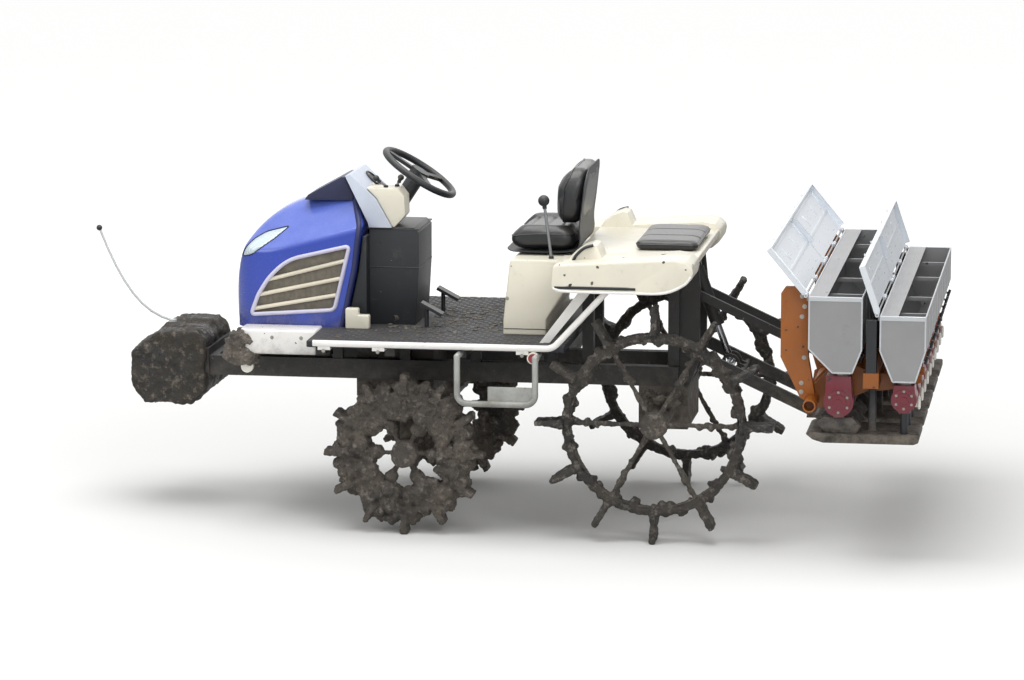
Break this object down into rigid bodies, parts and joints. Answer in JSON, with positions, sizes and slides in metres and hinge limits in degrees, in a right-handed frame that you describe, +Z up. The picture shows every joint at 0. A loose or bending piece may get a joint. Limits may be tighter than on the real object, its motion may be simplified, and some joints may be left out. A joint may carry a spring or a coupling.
{
  "type": "riding rice transplanter with rear seeding unit",
  "caption": "Riding rice transplanter chassis with lugged wheels, tilting hood and seat, carrying a rear lift-mounted seeding unit with long lidded hoppers over row meters.",
  "frame": {"origin": "on the ground under the middle of the overall box, level with the wheels' lowest lug tips", "axes": "+X forward along the machine, +Y to its left, +Z up"},
  "size_m": [3.49, 1.918, 1.4877],
  "materials": {
    "frame_paint": "black paint under dried mud",
    "cast_case": "grey cast cases with mud",
    "engine": "dark cast block",
    "deck_mat": "ribbed dark rubber mat with mud",
    "white_tube": "glossy white paint",
    "step_tube": "light grey paint, scuffed",
    "cream_panel": "cream moulded panel",
    "lamp_lens": "clear lens",
    "hood_blue": "royal blue gloss",
    "cowl_dark": "dark navy moulding",
    "black_plastic": "matt black moulding",
    "panel_grey": "pale grey moulding",
    "vinyl": "black vinyl",
    "tyre": "black rubber caked with mud",
    "rim_steel": "steel under dried mud",
    "bright_rod": "polished",
    "orange_paint": "dark orange paint",
    "hopper_steel": "stainless sheet",
    "lid_steel": "stainless sheet, bright",
    "meter_red": "crimson moulding",
    "outlet_white": "white moulding",
    "shaft_steel": "bare steel shaft",
    "weight_iron": "black casting caked with mud"
  },
  "bodies": {
    "root": {"frame": "frame_paint", "engine": "engine", "front_axle": "cast_case", "rear_axle": "cast_case", "hitch_tower": "frame_paint", "deck_floor": "deck_mat", "side_rails": "white_tube", "boarding_steps": "step_tube", "front_skirts": "cream_panel", "foot_blocks": "cream_panel", "side_lamps": "outlet_white", "front_weights": "weight_iron", "guide_rod": "white_tube", "column_cover": "black_plastic", "instrument_panel": "panel_grey", "lever_console": "cream_panel", "hand_levers": "black_plastic", "foot_pedals": "black_plastic", "seat_pedestal": "cream_panel", "seat_cushion": "vinyl", "seat_back": "vinyl", "rear_fenders": "cream_panel", "rear_deck": "cream_panel", "rear_pad": "vinyl"},
    "hood": {"hood_shell": "hood_blue", "hood_cowl": "cowl_dark", "grilles": "panel_grey", "headlamps": "lamp_lens"},
    "steering_wheel": {"steering_wheel": "black_plastic"},
    "knuckle_left": {"knuckle_left": "cast_case"},
    "knuckle_right": {"knuckle_right": "cast_case"},
    "pitman_arm": {"pitman_arm": "cast_case"},
    "track_rod": {"track_rod": "shaft_steel"},
    "front_wheel_left": {"front_tyre_left": "tyre", "front_rim_left": "rim_steel"},
    "front_wheel_right": {"front_tyre_right": "tyre", "front_rim_right": "rim_steel"},
    "rear_wheel_left": {"rear_tyre_left": "tyre", "rear_rim_left": "rim_steel"},
    "rear_wheel_right": {"rear_tyre_right": "tyre", "rear_rim_right": "rim_steel"},
    "lower_link": {"lower_link": "frame_paint"},
    "top_link": {"top_link": "frame_paint"},
    "lift_cylinder": {"lift_cylinder": "frame_paint"},
    "lift_rod": {"lift_rod": "bright_rod"},
    "seeder": {"seeder_frame": "orange_paint", "side_posts": "orange_paint", "hopper_brackets": "black_plastic", "hopper_front": "hopper_steel", "hopper_rear": "hopper_steel", "outlets": "outlet_white", "meters": "meter_red", "meter_shafts": "shaft_steel", "openers": "black_plastic", "drop_hoses": "black_plastic", "floats": "black_plastic"},
    "front_lid_left": {"front_lid_left": "lid_steel"},
    "front_lid_right": {"front_lid_right": "lid_steel"},
    "rear_lid_left": {"rear_lid_left": "lid_steel"},
    "rear_lid_right": {"rear_lid_right": "lid_steel"}
  },
  "joints": [
    {"name": "hood_tilt", "type": "hinge", "parent": "root", "child": "hood", "pos_m": [1.101, 0, 0.8], "axis": [0, 1, 0], "range_deg": [0, 50]},
    {"name": "steer_left", "type": "hinge", "parent": "root", "child": "knuckle_left", "pos_m": [0.351, 0.47, 0.325], "axis": [0, 0, 1], "range_deg": [-40, 40]},
    {"name": "steer_right", "type": "hinge", "parent": "root", "child": "knuckle_right", "pos_m": [0.351, -0.47, 0.325], "axis": [0, 0, 1], "range_deg": [-40, 40]},
    {"name": "pitman_swing", "type": "hinge", "parent": "root", "child": "pitman_arm", "pos_m": [0.351, 0, 0.441], "axis": [0, 0, 1], "range_deg": [-40, 40]},
    {"name": "track_rod_swing", "type": "hinge", "parent": "pitman_arm", "child": "track_rod", "pos_m": [0.241, 0, 0.4595], "axis": [0, 0, 1], "range_deg": [-40, 40]},
    {"name": "steering_wheel_turn", "type": "hinge", "parent": "root", "child": "steering_wheel", "pos_m": [0.384, 0, 1.386], "axis": [-0.5446, 0, 0.8387], "range_deg": [-400, 400]},
    {"name": "front_wheel_left_roll", "type": "hinge", "parent": "knuckle_left", "child": "front_wheel_left", "pos_m": [0.351, 0.56, 0.325], "axis": [0, 1, 0], "continuous": true},
    {"name": "front_wheel_right_roll", "type": "hinge", "parent": "knuckle_right", "child": "front_wheel_right", "pos_m": [0.351, -0.56, 0.325], "axis": [0, 1, 0], "continuous": true},
    {"name": "rear_wheel_left_roll", "type": "hinge", "parent": "root", "child": "rear_wheel_left", "pos_m": [-0.659, 0.6, 0.475], "axis": [0, 1, 0], "continuous": true},
    {"name": "rear_wheel_right_roll", "type": "hinge", "parent": "root", "child": "rear_wheel_right", "pos_m": [-0.659, -0.6, 0.475], "axis": [0, 1, 0], "continuous": true},
    {"name": "lift", "type": "hinge", "parent": "root", "child": "lower_link", "pos_m": [-0.759, 0, 0.7], "axis": [0, 1, 0], "range_deg": [-15, 50]},
    {"name": "top_link_swing", "type": "hinge", "parent": "root", "child": "top_link", "pos_m": [-0.759, 0, 0.93], "axis": [0, 1, 0], "range_deg": [-15, 50]},
    {"name": "seeder_level", "type": "hinge", "parent": "lower_link", "child": "seeder", "pos_m": [-1.25868, 0, 0.47017], "axis": [0, 1, 0], "range_deg": [-50, 15]},
    {"name": "lift_cylinder_swing", "type": "hinge", "parent": "root", "child": "lift_cylinder", "pos_m": [-0.757, 0, 1.03], "axis": [0, 1, 0], "range_deg": [-3, 10]},
    {"name": "lift_rod_slide", "type": "slide", "parent": "lift_cylinder", "child": "lift_rod", "axis": [0.3481, 0, 0.9375], "range_m": [-0.036, 0.118]},
    {"name": "front_lid_left_swing", "type": "hinge", "parent": "seeder", "child": "front_lid_left", "pos_m": [-1.281, 0.48, 1.058], "axis": [0, 1, 0], "range_deg": [-130, 0]},
    {"name": "front_lid_right_swing", "type": "hinge", "parent": "seeder", "child": "front_lid_right", "pos_m": [-1.281, -0.48, 1.058], "axis": [0, 1, 0], "range_deg": [-130, 0]},
    {"name": "rear_lid_left_swing", "type": "hinge", "parent": "seeder", "child": "rear_lid_left", "pos_m": [-1.555, 0.48, 0.988], "axis": [0, 1, 0], "range_deg": [-109, 0]},
    {"name": "rear_lid_right_swing", "type": "hinge", "parent": "seeder", "child": "rear_lid_right", "pos_m": [-1.555, -0.48, 0.988], "axis": [0, 1, 0], "range_deg": [-109, 0]}
  ],
  "couplings": [
    {"joint": "steer_right", "follows": "steer_left", "ratio": 1},
    {"joint": "pitman_swing", "follows": "steer_left", "ratio": 1},
    {"joint": "track_rod_swing", "follows": "steer_left", "ratio": -1},
    {"joint": "steering_wheel_turn", "follows": "steer_left", "ratio": 10},
    {"joint": "top_link_swing", "follows": "lift", "ratio": 1},
    {"joint": "seeder_level", "follows": "lift", "ratio": -1},
    {"joint": "lift_cylinder_swing", "follows": "lift", "ratio": 0.2},
    {"joint": "lift_rod_slide", "follows": "lift", "m_per_rad": 0.1346}
  ]
}
